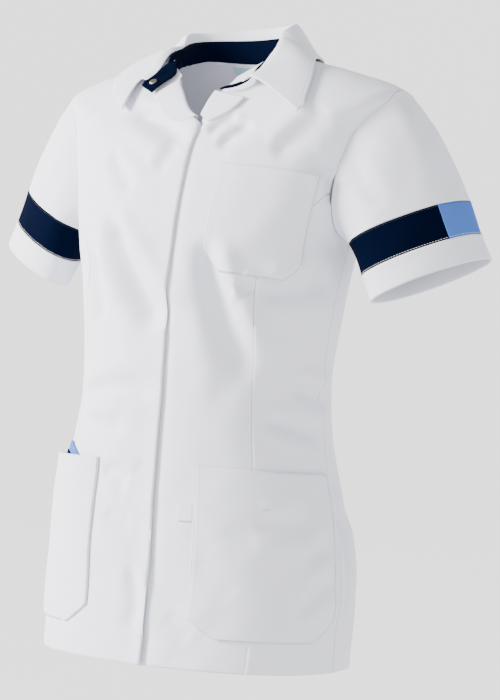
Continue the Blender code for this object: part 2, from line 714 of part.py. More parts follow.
def add_stud(seam, top, inside):
    """The cap of the press stud on the right end of the stand."""
    middle = seam[STUD_STATION] + (top[STUD_STATION] - seam[STUD_STATION]) * STUD_HEIGHT
    out = inside[STUD_STATION]
    across = unit(top[STUD_STATION] - seam[STUD_STATION])
    along = np.cross(out, across)
    base = middle + (STAND_WALL / 2 + STAND_GAP) * out
    sides = 16
    rings = ((0.88, 0.0), (1.0, 0.35), (0.72, 0.85), (0.45, 1.0))
    vertices = []
    for size, height in rings:
        for k in range(sides):
            turn = 2 * math.pi * k / sides
            spoke = math.cos(turn) * along + math.sin(turn) * across
            vertices.append(base + STUD_RADIUS * size * spoke + STUD_THICK * height * out)
    faces = [list(range(sides)), list(range((len(rings) - 1) * sides, len(rings) * sides))]
    for ring in range(len(rings) - 1):
        for k in range(sides):
            low, high = ring * sides, (ring + 1) * sides
            faces.append([low + k, low + (k + 1) % sides, high + (k + 1) % sides, high + k])
    add_piece("stud_cap", vertices, faces, "stud_metal")


def make_lapels():
    """The tops of the fronts, turned out so that their facings show."""
    turns = [math.radians(angle) for angle in (0, 45, 90, 135, 180)]
    rows, columns = 10, 6
    for side in (-1, 1):
        places, directions = [], []
        for share in np.linspace(0, 1, rows):
            roll_level, edge_phi, edge_level = read_table(LAPELS[side], float(share))
            phi = roll_phi(side, roll_level)
            base = torso(phi, roll_level)
            out = torso_normal(phi, roll_level)
            toward = on_torso(edge_phi, edge_level) - base
            opening = -unit(toward - np.dot(toward, out) * out)
            row_places = [base + (LAPEL_GAP + LAPEL_ROLL * math.sin(t)) * opening
                          + LAPEL_ROLL * (1 - math.cos(t)) * out for t in turns]
            row_normals = [math.sin(t) * opening - math.cos(t) * out for t in turns]
            for step in np.linspace(0, 1, columns)[1:]:
                here = (phi + (edge_phi - phi) * step,
                        roll_level + (edge_level - roll_level) * step)
                row_places.append(on_torso(*here, 2 * LAPEL_ROLL - LAPEL_SETTLE * step))
                row_normals.append(torso_normal(*here))
            places.append(row_places)
            directions.append(row_normals)
        wall(f"lapel_{SIDE_NAMES[side]}", places, directions, "white_cloth", LAPEL_WALL)


def pocket(name, size, side, gape=0.0, columns=12, rows=12):
    """A patch pocket with cut corners, lifted off the panel it is sewn to."""
    places = np.zeros((rows + 1, columns + 1, 3))
    normals = np.zeros_like(places)
    half = read_table(SECTIONS, size["bottom"][0])[0]
    cut_angle = math.degrees(size["cut_across"] / half)
    for i in range(rows + 1):
        share = (i / rows) ** 1.15
        inner = size["inner"][0] + (size["inner"][1] - size["inner"][0]) * share
        outer = size["outer"][0] + (size["outer"][1] - size["outer"][0]) * share
        for j in range(columns + 1):
            across = j / columns
            phi = inner + (outer - inner) * across
            bottom = size["bottom"][0] + (size["bottom"][1] - size["bottom"][0]) * across
            top = size["top"][0] + (size["top"][1] - size["top"][0]) * across
            from_edge = min(phi - inner, outer - phi)
            cut = max(0.0, 1 - from_edge / cut_angle) * size["cut_up"]
            level = bottom + cut + (top - bottom - cut) * share
            lift = LAID_ON + CLOTH / 2 + POCKET_WALL / 2
            lift += gape * math.sin(math.pi * across) ** 0.8 * share**3
            normals[i, j] = torso_normal(side * phi, level)
            places[i, j] = torso(side * phi, level) + lift * normals[i, j]
    return wall(name, places, normals, "white_cloth", POCKET_WALL)


def patch(name, edges, finish, side=1, lift=LAID_ON + CLOTH, thickness=LABEL_WALL, columns=8):
    """A small piece that follows the torso; each row of edges is (level, first phi, last phi)."""
    places, normals = [], []
    for level, first, last in edges:
        row = [(side * (first + (last - first) * j / columns), level) for j in range(columns + 1)]
        places.append([on_torso(phi, at, lift) for phi, at in row])
        normals.append([torso_normal(phi, at) for phi, at in row])
    return wall(name, places, normals, finish, thickness)


def make_pockets():
    """Chest pocket on the wearer's left and a hip pocket on each side."""
    pocket("chest_pocket", CHEST_POCKET, 1)
    pocket("hip_pocket_left", HIP_POCKET, 1)
    pocket("hip_pocket_right", HIP_POCKET, -1, POCKET_GAPE)
    for name, finish in (("pocket_facing_blue", "light_blue_cloth"),
                         ("pocket_facing_navy", "navy_cloth")):
        shape = FACINGS[name]
        phis = [row[0] for row in shape["rows"]]
        rows = 5
        grid = np.zeros((rows, len(phis), 3))
        normals = np.zeros_like(grid)
        for j, (phi, low, high) in enumerate(shape["rows"]):
            for i in range(rows):
                level = low + (high - low) * i / (rows - 1)
                grid[i, j] = on_torso(-phi, level, shape["lift"])
                normals[i, j] = torso_normal(-phi, level)
        wall(name, grid, normals, finish, FACING_WALL)


def make_labels():
    """The half-round neck label inside the back, and the blank tab beside the left hip pocket."""
    steps = 7
    rows = []
    for k in range(steps):
        share = math.sin(0.5 * math.pi * k / (steps - 1)) * 0.985
        level = NECK_LABEL_TOP - (NECK_LABEL_TOP - NECK_LABEL_LOW) * share
        half = read_table(SECTIONS, level)[0]
        spread = math.degrees(NECK_LABEL_HALF * math.sqrt(1 - share * share) / half)
        rows.append((level, 180.0 - spread, 180.0 + spread))
    patch("neck_label", rows, "label_cloth", lift=-(CLOTH / 2 + LAID_ON + LABEL_WALL / 2))
    rows = []
    for level in np.linspace(TAB_LOW, TAB_HIGH, 4):
        share = (level - HIP_POCKET["bottom"][0]) / (HIP_POCKET["top"][0] - HIP_POCKET["bottom"][0])
        inner = HIP_POCKET["inner"]
        edge = inner[0] + (inner[1] - inner[0]) * share - TAB_GAP
        rows.append((float(level), edge - TAB_REACH, edge))
    patch("tab_label", rows, "white_cloth", columns=3)


def main():
    """Builds every piece of the tunic."""
    clear_scene()
    sleeves = {side: Sleeve(side) for side in (-1, 1)}
    make_back(sleeves)
    make_fronts(sleeves)
    make_side_fronts(sleeves)
    make_sleeves(sleeves)
    make_lapels()
    make_collar()
    make_pockets()
    make_labels()


main()
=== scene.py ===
"""Look of the medical tunic: creased cloth shells, sewing, labels, studio and camera."""
import math

import bmesh
import bpy
import numpy as np
from mathutils import Matrix, Vector
from mathutils.bvhtree import BVHTree


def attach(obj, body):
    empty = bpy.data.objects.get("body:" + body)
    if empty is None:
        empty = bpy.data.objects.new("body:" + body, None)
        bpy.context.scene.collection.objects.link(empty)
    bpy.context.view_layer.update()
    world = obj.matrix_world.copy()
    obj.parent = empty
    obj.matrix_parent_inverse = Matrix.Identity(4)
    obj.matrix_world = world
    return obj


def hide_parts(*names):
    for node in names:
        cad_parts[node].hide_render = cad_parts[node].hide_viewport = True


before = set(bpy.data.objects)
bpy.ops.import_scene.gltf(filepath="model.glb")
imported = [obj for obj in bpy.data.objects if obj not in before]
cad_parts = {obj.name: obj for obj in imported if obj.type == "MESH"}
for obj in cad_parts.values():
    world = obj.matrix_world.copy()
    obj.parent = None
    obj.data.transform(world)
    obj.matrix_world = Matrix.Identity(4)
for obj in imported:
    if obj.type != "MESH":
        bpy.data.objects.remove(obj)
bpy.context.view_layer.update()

# Camera, fitted to the photograph; places and sizes are in metres
AZIMUTH = math.radians(31.7)
DISTANCE = 2.772
CAMERA_HEIGHT = -0.345
PITCH = math.radians(0.083)
ROLL = math.radians(-3.417)
LENS = 124.35
SENSOR = 36
PHOTO_WIDTH, PHOTO_HEIGHT = 500, 700  # pixels
SHIFT_X = 37.4 / PHOTO_HEIGHT

# Cloths by slot: colour, second colour, roughness, specular level
CLOTHS = {
    "white_cloth": ((0.66, 0.665, 0.735), (0.69, 0.695, 0.765), 0.85, 0.15),
    "navy_cloth": ((0.0002, 0.0014, 0.0080), (0.0003, 0.0020, 0.0110), 0.90, 0.02),
    "light_blue_cloth": ((0.050, 0.125, 0.40), (0.060, 0.140, 0.43), 0.85, 0.05),
    "label_cloth": ((0.36, 0.60, 0.66), (0.42, 0.66, 0.71), 0.60, 0.10),
}
# Threads: colour
THREADS = {
    "white_thread": (0.74, 0.745, 0.80),
    "pale_thread": (0.50, 0.47, 0.42),
    "navy_thread": (0.0006, 0.0028, 0.014),
    # painted shade: this dark grey thread draws the thin shade line along the pockets' edges,
    # where the real thread is white
    "shade_thread": (0.19, 0.195, 0.23),
    "grey_thread": (0.16, 0.165, 0.19),
}
THREAD_ROUGHNESS = 0.6
WEAVE_PITCH = 0.00055   # one thread of the cloth
STUD_COLOUR = (0.34, 0.32, 0.25)
STUD_ROUGHNESS = (0.22, 0.45)

# Creases that the photograph shows, placed on it
# columns: width, depth, ridge beside it as a share, points as pixels across and down
SEEN_CREASES = (
    # right front
    (0.015, 0.0105, 0.35, ((104, 214), (119, 250), (139, 292), (163, 334))),
    (0.012, 0.0034, 0.50, ((92, 250), (98, 285), (106, 320))),
    (0.012, 0.0032, 0.60, ((85, 399), (107, 388), (135, 389), (158, 401))),
    (0.011, 0.0024, 0.60, ((82, 420), (105, 427), (128, 424))),
    (0.010, 0.0024, 0.60, ((102, 469), (115, 473), (128, 486))),
    (0.011, 0.0014, 0.60, ((103, 512), (116, 522), (132, 524))),
    (0.009, 0.0026, 0.50, ((128, 560), (135, 600), (128, 635))),
    (0.012, 0.0056, 0.45, ((128, 114), (148, 118), (168, 131), (184, 150))),
    (0.009, 0.0022, 0.50, ((156, 172), (166, 158), (177, 146))),
    (0.009, 0.0030, 0.50, ((110, 150), (120, 172), (134, 190))),
    # left front
    (0.013, 0.0040, 0.45, ((270, 157), (291, 141), (314, 121), (330, 108))),
    (0.009, 0.0042, 0.45, ((216, 149), (234, 135), (254, 122))),
    (0.008, 0.0036, 0.45, ((207, 135), (221, 124), (240, 116))),
    (0.009, 0.0026, 0.25, ((308, 161), (322, 166), (337, 168))),
    (0.014, 0.0074, 0.55, ((202, 232), (209, 268), (221, 312), (236, 352), (249, 388))),
    (0.008, 0.0040, 0.50, ((236, 281), (246, 288), (251, 297))),
    (0.013, 0.0060, 0.45, ((256, 291), (285, 291), (312, 287), (334, 277))),
    (0.010, 0.0046, 0.60, ((292, 386), (312, 394), (330, 404))),
    (0.009, 0.0030, 0.60, ((262, 420), (290, 427), (322, 438))),
    (0.008, 0.0036, 0.40, ((333, 172), (331, 188), (335, 206))),
    (0.012, 0.0012, 0.60, ((166, 612), (176, 626), (190, 640))),
    (0.012, 0.0006, 0.60, ((189, 529), (201, 541), (214, 552))),
    (0.016, 0.0012, 0.50, ((196, 556), (212, 580), (236, 600))),
    (0.010, 0.0032, 0.60, ((300, 618), (313, 600), (334, 577))),
    (0.009, 0.0020, 0.60, ((304, 566), (318, 553), (333, 543))),
    (0.012, 0.0028, 0.50, ((252, 520), (282, 526), (312, 520))),
    (0.009, 0.0044, 0.60, ((339, 505), (345, 540), (348, 585), (344, 630))),
)
# Creases where the photograph doesn't show the cloth, and weak ones on the sleeves
# columns: torso or arm, width, depth, ridge, points in metres on or near the cloth
OTHER_CREASES = (
    # sides
    ("torso", 0.009, 0.0036, 0.50, ((0.157, 0.001, -0.451), (0.170, 0.012, -0.520),
                                    (0.176, 0.034, -0.590), (0.172, 0.052, -0.665))),
    ("torso", 0.010, 0.0030, 0.50, ((-0.157, 0.004, -0.455), (-0.170, 0.016, -0.525),
                                    (-0.174, 0.040, -0.600), (-0.170, 0.050, -0.665))),
    # back
    ("torso", 0.015, 0.0048, 0.50, ((0.118, 0.080, -0.200), (0.098, 0.096, -0.255),
                                    (0.066, 0.104, -0.310))),
    ("torso", 0.014, 0.0044, 0.50, ((-0.122, 0.078, -0.205), (-0.095, 0.096, -0.262),
                                    (-0.070, 0.102, -0.330))),
    ("torso", 0.016, 0.0044, 0.60, ((0.136, 0.040, -0.375), (0.090, 0.082, -0.392),
                                    (0.030, 0.092, -0.412), (-0.010, 0.092, -0.402))),
    ("torso", 0.015, 0.0042, 0.60, ((-0.138, 0.036, -0.392), (-0.096, 0.078, -0.405),
                                    (-0.050, 0.090, -0.430))),
    ("torso", 0.013, 0.0032, 0.60, ((0.110, 0.066, -0.425), (0.066, 0.090, -0.446),
                                    (0.020, 0.100, -0.440))),
    ("torso", 0.014, 0.0034, 0.50, ((0.070, 0.112, -0.480), (0.082, 0.124, -0.560),
                                    (0.092, 0.130, -0.660))),
    ("torso", 0.015, 0.0040, 0.50, ((-0.066, 0.112, -0.470), (-0.074, 0.128, -0.560),
                                    (-0.070, 0.138, -0.670))),
    ("torso", 0.013, 0.0026, 0.50, ((0.004, 0.118, -0.520), (-0.002, 0.140, -0.600),
                                    (0.006, 0.150, -0.680))),
    ("torso", 0.013, 0.0030, 0.50, ((0.150, 0.060, -0.120), (0.110, 0.090, -0.135),
                                    (0.060, 0.102, -0.128))),
    ("torso", 0.013, 0.0028, 0.50, ((-0.150, 0.060, -0.125), (-0.106, 0.092, -0.145),
                                    (-0.062, 0.104, -0.150))),
    ("torso", 0.012, 0.0022, 0.50, ((0.034, 0.104, -0.120), (0.020, 0.110, -0.200),
                                    (0.012, 0.108, -0.280))),
    # left sleeve
    ("arm", 0.014, 0.0008, 0.50, ((0.216, -0.020, -0.075), (0.244, -0.016, -0.110),
                                  (0.262, -0.014, -0.150))),
    ("arm", 0.011, 0.0009, 0.60, ((0.186, -0.040, -0.118), (0.206, -0.046, -0.150),
                                  (0.232, -0.044, -0.182))),
    ("arm", 0.010, 0.0008, 0.60, ((0.182, -0.045, -0.160), (0.198, -0.049, -0.183),
                                  (0.214, -0.048, -0.205))),
    ("arm", 0.013, 0.0007, 0.50, ((0.240, 0.004, -0.078), (0.272, 0.008, -0.126),
                                  (0.290, 0.014, -0.165))),
    ("arm", 0.013, 0.0008, 0.50, ((0.196, 0.044, -0.110), (0.222, 0.050, -0.160),
                                  (0.250, 0.056, -0.210))),
    ("arm", 0.010, 0.0008, 0.50, ((0.180, 0.030, -0.200), (0.206, 0.046, -0.214),
                                  (0.232, 0.052, -0.236))),
    # right sleeve
    ("arm", 0.014, 0.0008, 0.50, ((-0.205, -0.014, -0.072), (-0.222, -0.022, -0.110),
                                  (-0.232, -0.030, -0.160))),
    ("arm", 0.011, 0.0009, 0.60, ((-0.186, -0.044, -0.125), (-0.200, -0.049, -0.150),
                                  (-0.222, -0.046, -0.188))),
    ("arm", 0.010, 0.0008, 0.60, ((-0.178, -0.044, -0.165), (-0.192, -0.048, -0.182),
                                  (-0.206, -0.047, -0.200))),
    ("arm", 0.013, 0.0008, 0.50, ((-0.194, 0.044, -0.110), (-0.214, 0.050, -0.160),
                                  (-0.236, 0.050, -0.210))),
    ("arm", 0.011, 0.0007, 0.50, ((-0.232, 0.006, -0.080), (-0.260, 0.010, -0.130),
                                  (-0.274, 0.012, -0.170))),
)

CREASE_DEPTH = 1.5      # how deep all creases are against the table
CREASE_POINTS = 13      # points along a crease once its line is rounded
CREASE_FADE = 0.22      # share of a crease's length over which each end fades
CREASE_REACH = 4        # how many widths from its points a crease is felt
CREASE_SPREAD = (0.75, 1.25)   # width at a crease's start and end against the table
# The ridges beside a crease: offset in widths, width against the trough's, share of the height
BANKS = (
    (1.9, 1.0, 1.0),
    (-2.0, 1.2, 0.6),
)

RIPPLE = 0.0005         # height of the slight overall unevenness
RIPPLE_SMALL = 0.4      # share of it on the collar, stand and lapels
# columns: share, waves per metre along x, y and z, bend, the bend's waves per metre
RIPPLES = (
    (1.0, (41, 0, 23), 2.0, (0, 17, 9)),
    (0.7, (0, -31, 67), 2.4, (29, 0, 0)),
    (0.5, (95, 77, -58), 1.7, (0, 0, 43)),
)

PLACKET_LIFT = 0.0032   # how far the closing's edge stands up at the hem
PLACKET_LEAST = 0.1     # least share of it, at the top
PLACKET_WIDTH = 0.012
HEM_DEPTH = 0.69        # how far the hem lies below the neck
SLEEVE_STILL = 0.168    # a sleeve's cloth keeps its place up to here, beside the seam
SLEEVE_FREE = 0.035     # and moves in full this much further out
HANG_OVER = 0.0016      # how far the stand's lower part climbs over the cloth's edge
HANG_LEAST = 0.001      # where the stand hangs in by less, it doesn't climb
HANG_START = 0.4        # share of the way down the stand where its drop starts
HANG_RATE = 3.5         # how fast it comes in on the way down
# How the stand's lower edge hangs inside the neck
# columns: degrees round the neck from the front, drop, how far in from the cloth
STAND_HANG = (
    (-180, 0.0005, 0.0015),
    (-132, 0.0010, 0.0020),
    (-120, 0.0030, 0.0035),
    (-108, 0.0080, 0.0050),
    (-96, 0.0130, 0.0060),
    (-84, 0.0170, 0.0065),
    (-72, 0.0160, 0.0055),
    (-60, 0.0080, 0.0035),
    (-48, 0.0015, 0.0010),
    (-36, 0.0000, 0.0000),
    (130, 0.0000, 0.0000),
    (180, 0.0005, 0.0015),
)

# Cloth pieces: node, slot, subdivision, weave run, cut (width, length, area) in metres, held
PIECES = (
    ("back", "white_cloth", 3, "torso", (0.535, 0.738, 0.3147), "hung"),
    ("front_right", "white_cloth", 3, "closing", (0.220, 0.748, 0.1161), "hung"),
    ("front_left", "white_cloth", 3, "torso", (0.215, 0.749, 0.1149), "hung"),
    ("side_front_right", "white_cloth", 3, "torso", (0.121, 0.535, 0.0551), "hung"),
    ("side_front_left", "white_cloth", 3, "torso", (0.121, 0.536, 0.0550), "hung"),
    ("sleeve_right", "white_cloth", 3, "arm", (0.350, 0.140, 0.0303), "hung"),
    ("sleeve_left", "white_cloth", 3, "arm", (0.393, 0.154, 0.0373), "hung"),
    ("band_navy_right", "navy_cloth", 3, "arm", (0.200, 0.040, 0.0076), "stretched"),
    ("band_navy_left", "navy_cloth", 3, "arm", (0.207, 0.040, 0.0079), "stretched"),
    ("band_blue_right", "light_blue_cloth", 3, "arm", (0.162, 0.040, 0.0062), "stretched"),
    ("band_blue_left", "light_blue_cloth", 3, "arm", (0.166, 0.040, 0.0063), "stretched"),
    ("cuff_right", "white_cloth", 3, "arm", (0.347, 0.030, 0.0103), "hung"),
    ("cuff_left", "white_cloth", 3, "arm", (0.352, 0.030, 0.0104), "hung"),
    ("lapel_right", "white_cloth", 2, "flat", (0.078, 0.041, 0.0024), "folded"),
    ("lapel_left", "white_cloth", 2, "flat", (0.058, 0.034, 0.0016), "folded"),
    ("stand", "navy_cloth", 2, "stand", (0.420, 0.026, 0.0074), "folded"),
    ("collar", "white_cloth", 2, "neck", (0.560, 0.085, 0.0387), "folded"),
    ("chest_pocket", "white_cloth", 2, "torso", (0.113, 0.129, 0.0133), "laid"),
    ("hip_pocket_right", "white_cloth", 2, "torso", (0.180, 0.189, 0.0327), "laid"),
    ("hip_pocket_left", "white_cloth", 2, "torso", (0.180, 0.191, 0.0321), "laid"),
    ("pocket_facing_blue", "light_blue_cloth", 2, "torso", (0.076, 0.042, 0.0026), "laid"),
    ("pocket_facing_navy", "navy_cloth", 2, "torso", (0.048, 0.026, 0.0012), "laid"),
    ("neck_label", "label_cloth", 2, "torso", (0.076, 0.030, 0.0019), "laid"),
    ("tab_label", "white_cloth", 2, "torso", (0.018, 0.018, 0.0003), "laid"),
)

# Sewing rows: node, distance in from its edge, edges followed, slot, thread.
# An edge is named by where the piece lies from it: first and last are its ends anticlockwise
# seen from above.
SIDES = ("first", "last", "bottom")
AROUND = ("first", "last", "bottom", "top")
ROWS = (
    # The outermost row on each pocket is dark thread, painted shade along the pocket's edge
    ("chest_pocket", 0.0010, SIDES, "white_cloth", "shade_thread"),
    ("chest_pocket", 0.0060, SIDES, "white_cloth", "white_thread"),
    ("chest_pocket", 0.0220, ("top",), "white_cloth", "white_thread"),
    ("hip_pocket_right", 0.0010, SIDES, "white_cloth", "shade_thread"),
    ("hip_pocket_right", 0.0060, SIDES, "white_cloth", "white_thread"),
    ("hip_pocket_right", 0.0280, ("top",), "white_cloth", "white_thread"),
    ("hip_pocket_left", 0.0010, SIDES, "white_cloth", "shade_thread"),
    ("hip_pocket_left", 0.0060, SIDES, "white_cloth", "white_thread"),
    ("hip_pocket_left", 0.0280, ("top",), "white_cloth", "white_thread"),
    ("collar", 0.0020, AROUND, "white_cloth", "white_thread"),
    ("collar", 0.0060, AROUND, "white_cloth", "white_thread"),
    ("lapel_right", 0.0030, AROUND, "white_cloth", "white_thread"),
    ("lapel_left", 0.0030, AROUND, "white_cloth", "white_thread"),
    ("front_right", 0.0020, ("last",), "white_cloth", "white_thread"),
    ("front_right", 0.0170, ("bottom",), "white_cloth", "white_thread"),
    ("front_left", 0.0170, ("bottom",), "white_cloth", "white_thread"),
    ("side_front_right", 0.0170, ("bottom",), "white_cloth", "white_thread"),
    ("side_front_left", 0.0170, ("bottom",), "white_cloth", "white_thread"),
    ("back", 0.0170, ("bottom",), "white_cloth", "white_thread"),
    ("cuff_right", 0.0250, ("bottom",), "white_cloth", "white_thread"),
    ("cuff_left", 0.0250, ("bottom",), "white_cloth", "white_thread"),
    ("band_navy_right", 0.0015, ("bottom",), "navy_cloth", "pale_thread"),
    ("band_navy_left", 0.0015, ("bottom",), "navy_cloth", "pale_thread"),
    ("band_blue_right", 0.0015, ("bottom",), "navy_cloth", "pale_thread"),
    ("band_blue_left", 0.0015, ("bottom",), "navy_cloth", "pale_thread"),
    ("band_navy_right", 0.0015, ("top",), "navy_cloth", "navy_thread"),
    ("band_navy_left", 0.0015, ("top",), "navy_cloth", "navy_thread"),
    ("stand", 0.0015, AROUND, "navy_cloth", "navy_thread"),
    ("neck_label", 0.0015, AROUND, "white_cloth", "white_thread"),
)

# The garment's rough form, for outward ways and for the weave
TORSO_DEPTH = 0.006     # of the torso's middle
SHOULDER_START = -0.095  # height above which the cloth turns inward
TORSO_SIZES = (0.165, 0.118, 0.075)  # half its width and depth, and the shoulders' height
NECK_DEPTH = 0.012      # of the neck's middle
WEAVE_RADIUS = {"torso": 0.140, "closing": 0.140, "arm": 0.056, "neck": 0.085, "stand": 0.085}
WEAVE_DEPTH = {"torso": 0.004, "closing": 0.004, "neck": NECK_DEPTH, "stand": NECK_DEPTH}
# A sleeve's middle line: its top and end, by side
ARM_TOP = {-1: (-0.180, 0.002, -0.125), 1: (0.184, 0.002, -0.125)}
ARM_END = {-1: (-0.262, 0.002, -0.265), 1: (0.281, 0.004, -0.270)}

# Sewing
STITCH_PITCH = 0.0032
STITCH_LENGTH = 0.0025
STITCH_RADIUS = 0.00028
STITCH_RISE = 0.00012   # how far the middle of a stitch stands off the cloth
LEAST_STITCH = 0.00045  # a shorter one is left out
STITCH_SIDES = 5
# Along a stitch: share of its length, share of its radius
STITCH_RINGS = ((0.0, 0.35), (0.2, 1.0), (0.8, 1.0), (1.0, 0.35))
# Close bars of thread: node, pixels of its two ends, slot, thread
BARS = (
    ("hip_pocket_left", ((262, 510), (271, 510)), "white_cloth", "grey_thread"),
)
BAR_PITCH = 0.0009
BAR_LENGTH = 0.0015
BAR_POINTS = 12

# Meshes and their edges
MERGE = 1e-6
QUAD_ANGLE = math.radians(35)    # most that two triangles of a quad are bent
QUAD_SHAPE = math.radians(60)
CREASE_ANGLE = math.radians(52)  # a sharper edge stays sharp when it is subdivided
CORNER_ANGLE = math.radians(20)  # a piece's edge that turns more keeps its corner
SKIN_ANGLE = math.radians(50)    # a sharper edge ends a piece's skin
SAMPLE = 0.001                   # spacing of the points along a piece's edge
LEAST_SAMPLES = 4                # a row with fewer has no stitches
LEAST_LOOP = 8                   # samples of the smallest closed edge
ROW_CLEAR = 0.97                 # least distance from the edge, as a share of the row's
STAND_SLOPE = 0.15               # how steep an inward way is at the stand's long edges
EDGE_SLOPE = 0.6                 # the same at a piece's top or bottom edge
INSIDE_NODES = ("stand", "neck_label")  # seen from inside the garment
ARM_NODES = ("sleeve", "band", "cuff")
TINY = 1e-9

# Studio
FLOOR = -0.78
FLOOR_RADIUS = 7.0
COVE_RADIUS = 2.0       # the round corner between floor and wall
COVE_STEPS = 6
WALL_TOP = 7.0          # above the floor
STUDIO_SIDES = 96
BACKDROP_COLOUR = (0.10, 0.10, 0.10)
BACKDROP_GLOW = 2.0
WORLD_COLOUR = (0.95, 0.97, 1.0)
WORLD = 0.5
LIGHT_AIM = (0, 0, -0.3)
# columns: name, place, size, power in watts, colour
LIGHTS = (
    ("key", (-2.9, -2.4, 0.9), 1.6, 620, (1.0, 0.99, 0.97)),
    ("fill", (2.8, -1.6, 0.5), 1.8, 12, (0.96, 0.98, 1.0)),
    ("back", (0.4, 2.8, 1.6), 1.6, 30, (1.0, 1.0, 1.0)),
)

# Filled in as the scene is built
MATERIALS = {}
EDGES = {}
CREASES = []


def view():
    """The camera's place and its directions to the right, up and ahead."""
    right = Vector((math.cos(AZIMUTH), math.sin(AZIMUTH), 0))
    ahead = Vector((-math.sin(AZIMUTH) * math.cos(PITCH), math.cos(AZIMUTH) * math.cos(PITCH),
                    math.sin(PITCH)))
    up = right.cross(ahead)
    across = right * math.cos(ROLL) - up * math.sin(ROLL)
    upward = right * math.sin(ROLL) + up * math.cos(ROLL)
    place = Vector((DISTANCE * math.sin(AZIMUTH), -DISTANCE * math.cos(AZIMUTH), CAMERA_HEIGHT))
    return place, across, upward, ahead


def camera():
    """The camera at the photograph's angle."""
    place, across, upward, ahead = view()
    data = bpy.data.cameras.new("camera")
    data.sensor_width = SENSOR
    data.lens = LENS
    data.shift_x = SHIFT_X
    item = bpy.data.objects.new("camera", data)
    turn = Matrix((across, upward, -ahead)).transposed()
    item.matrix_world = Matrix.Translation(place) @ turn.to_4x4()
    bpy.context.scene.collection.objects.link(item)
    bpy.context.scene.camera = item


def seen_line(pixels, tree):
    """The places on a surface that lie behind pixels of the photograph."""
    place, across, upward, ahead = view()
    line = []
    for x, y in pixels:
        right = (x - PHOTO_WIDTH / 2) / PHOTO_HEIGHT + SHIFT_X
        down = (y - PHOTO_HEIGHT / 2) / PHOTO_HEIGHT
        way = ahead + (across * right - upward * down) * (SENSOR / LENS)
        line.append(tree.ray_cast(place, way.normalized())[0])
    return np.array(line)


def torso_way(points):
    """Outward directions of the torso's cloth."""
    ahead = points[:, 1] - TORSO_DEPTH
    up = np.clip(points[:, 2] - SHOULDER_START, 0, None)
    way = np.column_stack((points[:, 0], ahead, up)) / np.square(TORSO_SIZES)
    return way / np.linalg.norm(way, axis=1, keepdims=True)


def arm_line(points):
    """The top of the sleeve that points lie on, its direction and its side."""
    side = 1 if points[:, 0].mean() > 0 else -1
    start, end = np.array(ARM_TOP[side]), np.array(ARM_END[side])
    return start, (end - start) / np.linalg.norm(end - start), side


def arm_way(points):
    """Outward directions of a sleeve's cloth."""
    start, axis, _ = arm_line(points)
    away = points - start
    away -= (away @ axis)[:, None] * axis
    return away / np.maximum(np.linalg.norm(away, axis=1, keepdims=True), TINY)


def along_line(points, line):
    """Each point's distance from a bent line, share along it, offset and the line's way there."""
    steps = np.linalg.norm(np.diff(line, axis=0), axis=1)
    starts = np.concatenate(((0.0,), np.cumsum(steps)))
    best = np.full(len(points), 1e9)
    share = np.zeros(len(points))
    side = np.zeros((len(points), 3))
    tangent = np.zeros((len(points), 3))
    for k, step in enumerate(steps):
        a, b = line[k], line[k + 1]
        way = (b - a) / step
        t = np.clip((points - a) @ way, 0, step)
        offset = points - a - t[:, None] * way
        distance = np.linalg.norm(offset, axis=1)
        nearer = distance < best
        best[nearer] = distance[nearer]
        share[nearer] = ((starts[k] + t) / starts[-1])[nearer]
        side[nearer] = offset[nearer]
        tangent[nearer] = way
    return best, share, side, tangent


def smooth_line(line):
    """A rounded run of points through a short line's points."""
    line = np.array(line)
    fine = np.linspace(0, len(line) - 1, CREASE_POINTS)
    slopes = np.gradient(line, axis=0)
    out = []
    for t in fine:
        k = min(int(t), len(line) - 2)
        s = t - k
        out.append((2 * s**3 - 3 * s**2 + 1) * line[k] + (s**3 - 2 * s**2 + s) * slopes[k]
                   + (3 * s**2 - 2 * s**3) * line[k + 1] + (s**3 - s**2) * slopes[k + 1])
    return np.array(out)


def push(points, where):
    """How far the creases move each point, as vectors."""
    moved = np.zeros_like(points)
    for kind, width, depth, ridge, line in CREASES:
        if (kind == "arm") != (where == "arm"):
            continue
        line = np.array(line)
        reach = CREASE_REACH * width
        low, high = line.min(axis=0) - reach, line.max(axis=0) + reach
        near = np.all((points > low) & (points < high), axis=1)
        if not near.any():
            continue
        here = points[near]
        out = arm_way(here) if kind == "arm" else torso_way(here)
        distance, share, offset, tangent = along_line(here, smooth_line(line))
        across = np.sign(np.einsum("ij,ij->i", np.cross(out, tangent), offset)) * distance
        fade = np.clip(np.minimum(share, 1 - share) / CREASE_FADE, 0, 1)
        fade = fade * fade * (3 - 2 * fade)
        tight = width * np.interp(share, (0, 1), CREASE_SPREAD)
        trough = np.exp(-(across / tight) ** 2)
        bank = ridge * sum(height * np.exp(-((across - away * tight) / (wide * tight)) ** 2)
                           for away, wide, height in BANKS)
        moved[near] += (CREASE_DEPTH * depth * fade * (bank - trough))[:, None] * out
    return moved


def ripple(points):
    """Slight uneven waves all over the cloth."""
    return RIPPLE * sum(share * np.sin(points @ run + bend * np.sin(points @ turn))
                        for share, run, bend, turn in RIPPLES)


def from_edge(points, edge):
    """Distance of each point from the nearest of an edge's samples."""
    return np.array([np.min(np.linalg.norm(edge - place, axis=1)) for place in points])


